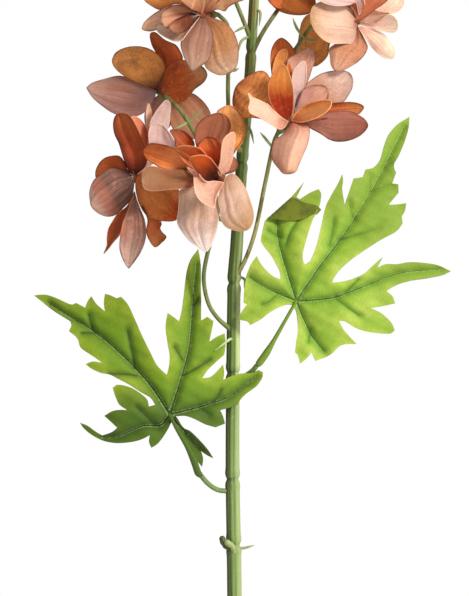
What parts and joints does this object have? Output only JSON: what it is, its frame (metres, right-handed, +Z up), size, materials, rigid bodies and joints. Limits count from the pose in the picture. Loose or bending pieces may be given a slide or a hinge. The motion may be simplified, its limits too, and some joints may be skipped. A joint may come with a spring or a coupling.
{
  "type": "artificial delphinium stem in vase",
  "caption": "Tall artificial delphinium spray with cloth blooms and cut leaves on a jointed green stem, standing in a plain bottle vase.",
  "frame": {"origin": "middle of the vase's flat foot, on the surface that it stands on", "axes": "+Z up along the stem, the spray's front towards -Y, +X to the right of someone who looks at its front"},
  "size_m": [0.1923, 0.106, 0.7829],
  "materials": {
    "stoneware": "plain warm white glazed stoneware with an unglazed foot",
    "stem_green": "moulded plastic, grooved, olive green above and pale green below",
    "leaf_cloth": "printed green cloth with pressed veins",
    "petal_cloth": "dyed cloth in mottled rust, tan, mauve and peach with fine lengthwise creases"
  },
  "bodies": {
    "root": {"vase": "stoneware", "stem": "stem_green", "leaf_right": "leaf_cloth", "leaf_left": "leaf_cloth", "flower_right": "petal_cloth", "flower_front": "petal_cloth", "flower_low_left": "petal_cloth", "flower_back_left": "petal_cloth", "flower_top_left": "petal_cloth", "flower_top_right": "petal_cloth", "flower_top_middle": "petal_cloth", "flower_upper_01": "petal_cloth", "flower_upper_02": "petal_cloth", "flower_upper_03": "petal_cloth", "flower_upper_04": "petal_cloth", "flower_upper_05": "petal_cloth", "flower_upper_06": "petal_cloth", "flower_upper_07": "petal_cloth", "flower_upper_08": "petal_cloth", "flower_upper_09": "petal_cloth", "flower_upper_10": "petal_cloth", "flower_upper_11": "petal_cloth", "flower_upper_12": "petal_cloth"}
  },
  "joints": []
}
